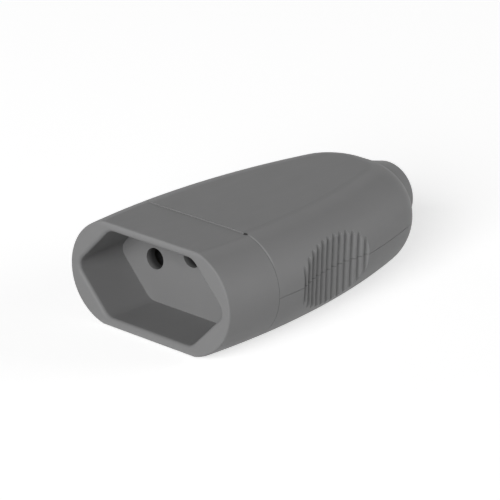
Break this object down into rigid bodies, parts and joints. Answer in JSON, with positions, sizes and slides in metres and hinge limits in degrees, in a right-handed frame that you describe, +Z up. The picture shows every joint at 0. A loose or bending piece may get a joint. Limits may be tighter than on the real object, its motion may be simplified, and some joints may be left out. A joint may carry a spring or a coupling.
{
  "type": "inline socket connector",
  "caption": "Inline mains socket for a cord end: hexagonal plug recess with round pin holes in a moulded nose, and a clamshell grip with ribbed dishes and a round cord outlet.",
  "frame": {"origin": "middle of the overall length and width, on the flat underside of the grip", "axes": "+Y from the socket face at the front towards the cord outlet at the rear, +Z up with the earth hole above the other two, +X to the right seen from the socket face"},
  "size_m": [0.0424, 0.0746, 0.0217],
  "materials": {
    "housing_plastic": "fine satin texture, moulded mid grey",
    "bushing_plastic": "satin, moulded mid grey",
    "inner_plastic": "plain moulded grey",
    "contact_brass": "rolled strip, bright",
    "terminal_brass": "sawn bar, dull",
    "spring_steel": "cold rolled strip",
    "screw_steel": "zinc plated"
  },
  "bodies": {
    "root": {"socket_nose": "housing_plastic", "upper_shell": "housing_plastic", "lower_shell": "housing_plastic", "cord_bushing": "bushing_plastic", "terminal_cover": "inner_plastic", "cord_clamp_bar": "inner_plastic", "line_contact": "contact_brass", "line_contact_spring": "spring_steel", "line_terminal_block": "terminal_brass", "line_terminal_screw": "screw_steel", "neutral_contact": "contact_brass", "neutral_contact_spring": "spring_steel", "neutral_terminal_block": "terminal_brass", "neutral_terminal_screw": "screw_steel", "earth_contact": "contact_brass", "earth_contact_spring": "spring_steel", "earth_terminal_block": "terminal_brass", "earth_terminal_screw": "screw_steel", "left_clamp_screw": "screw_steel", "left_shell_screw": "screw_steel", "right_clamp_screw": "screw_steel", "right_shell_screw": "screw_steel"}
  },
  "joints": []
}
